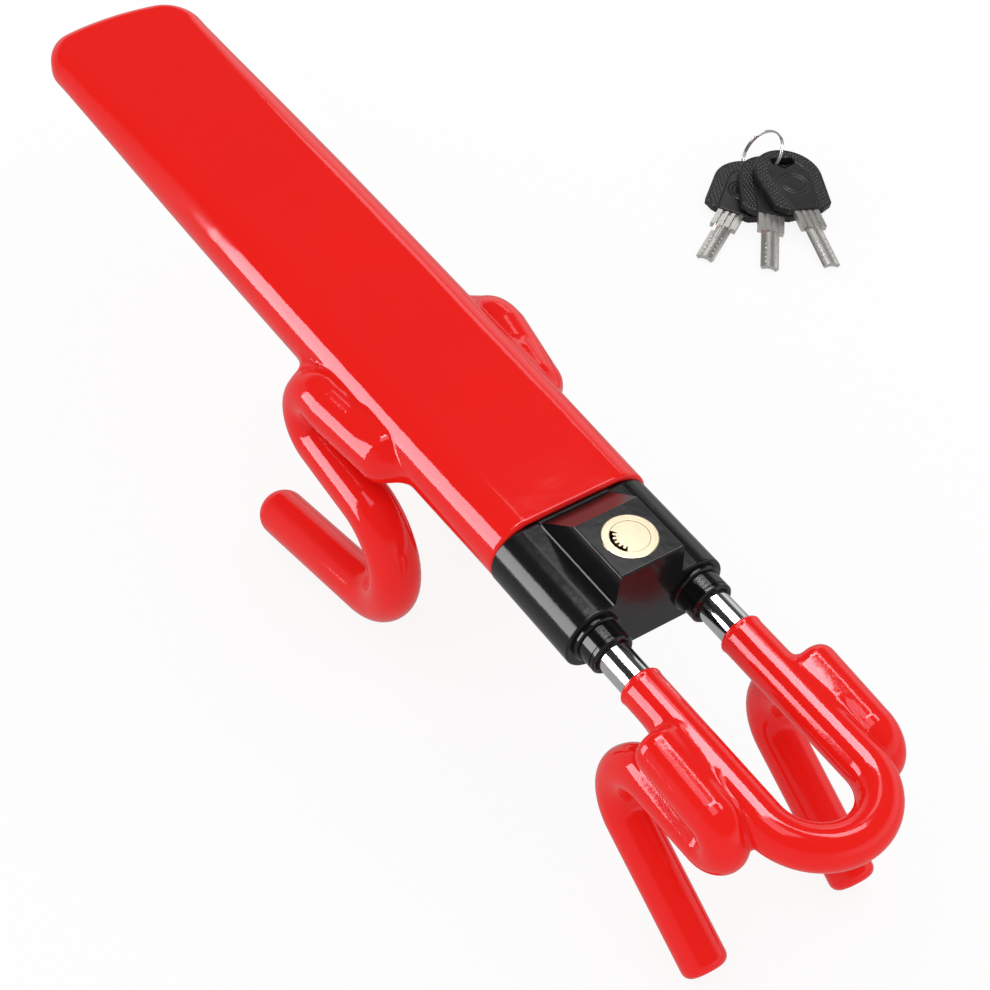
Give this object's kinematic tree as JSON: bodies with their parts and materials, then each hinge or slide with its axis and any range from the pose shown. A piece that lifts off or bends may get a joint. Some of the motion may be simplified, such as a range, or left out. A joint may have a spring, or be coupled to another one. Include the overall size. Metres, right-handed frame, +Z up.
{
  "type": "steering wheel lock",
  "caption": "Telescoping twin-bar steering wheel lock: flat vinyl-coated grip with rim hooks, a keyed housing, a sliding hooked U-bar, and its keys on a ring.",
  "frame": {"origin": "centre of the brass key face", "axes": "+Z up from the surface the lock stands on, +X along the lock from the grip towards the U-bend, which points 4.57 degrees down, +Y to the right-hand bar"},
  "size_m": [0.4732, 0.3258, 0.1183],
  "materials": {
    "red_vinyl": "glossy dipped vinyl skin",
    "bar_chrome": "bright chrome plate, polished",
    "housing_black": "gloss black paint on a zinc casting",
    "bush_black": "moulded black nylon, satin gloss",
    "cylinder_brass": "turned and lightly brushed brass",
    "pin_brass": "turned brass",
    "bare_steel": "bare rolled steel",
    "weld_steel": "as-welded steel",
    "hardened_steel": "hardened steel, ground",
    "ring_steel": "nickel-plated spring wire",
    "blade_nickel": "nickel-plated brass, milled",
    "bow_plastic": "black moulded plastic, satin"
  },
  "bodies": {
    "body": {"body_tube": "bare_steel", "body_coating": "red_vinyl", "body_hook_left": "bare_steel", "body_hook_right": "bare_steel", "body_hook_coating_left": "red_vinyl", "body_hook_coating_right": "red_vinyl", "body_welds": "weld_steel", "lock_housing": "housing_black", "housing_pins": "hardened_steel", "guide_bush_left": "bush_black", "guide_bush_right": "bush_black", "cylinder_shell": "cylinder_brass", "cylinder_pin": "hardened_steel", "driver_pins": "pin_brass", "bolt_spring": "hardened_steel"},
    "bar": {"u_bar": "bar_chrome", "u_bar_coating": "red_vinyl", "bar_hook_left": "bare_steel", "bar_hook_right": "bare_steel", "bar_hook_coating_left": "red_vinyl", "bar_hook_coating_right": "red_vinyl", "bar_welds": "weld_steel", "stop_plate": "bare_steel", "stop_nuts": "hardened_steel"},
    "plug": {"plug": "cylinder_brass", "key_pins": "pin_brass", "cam": "hardened_steel", "cam_clip": "hardened_steel"},
    "bolt_left": {"lock_bolt_left": "hardened_steel"},
    "bolt_right": {"lock_bolt_right": "hardened_steel"},
    "keys": {"key_ring": "ring_steel", "key_bow_1": "bow_plastic", "key_bow_2": "bow_plastic", "key_bow_3": "bow_plastic", "key_blade_1": "blade_nickel", "key_blade_2": "blade_nickel", "key_blade_3": "blade_nickel"}
  },
  "joints": [
    {"name": "bar_slide", "type": "slide", "parent": "body", "child": "bar", "axis": [0.9968, 0, -0.0797], "range_m": [-0.012, 0.132]},
    {"name": "plug_turn", "type": "hinge", "parent": "body", "child": "plug", "pos_m": [0, 0, 0], "axis": [0.0797, 0, 0.9968], "range_deg": [0, 90]},
    {"name": "bolt_left_slide", "type": "slide", "parent": "body", "child": "bolt_left", "axis": [0, -1, 0], "range_m": [0, 0.0022]},
    {"name": "bolt_right_slide", "type": "slide", "parent": "body", "child": "bolt_right", "axis": [0, 1, 0], "range_m": [0, 0.0022]},
    {"name": "keys_lift", "type": "slide", "parent": "body", "child": "keys", "axis": [0, 0, 1], "range_m": [0, 0.1]}
  ],
  "couplings": [
    {"joint": "bolt_left_slide", "follows": "plug_turn", "m_per_rad": 0.0014},
    {"joint": "bolt_right_slide", "follows": "plug_turn", "m_per_rad": 0.0014}
  ]
}
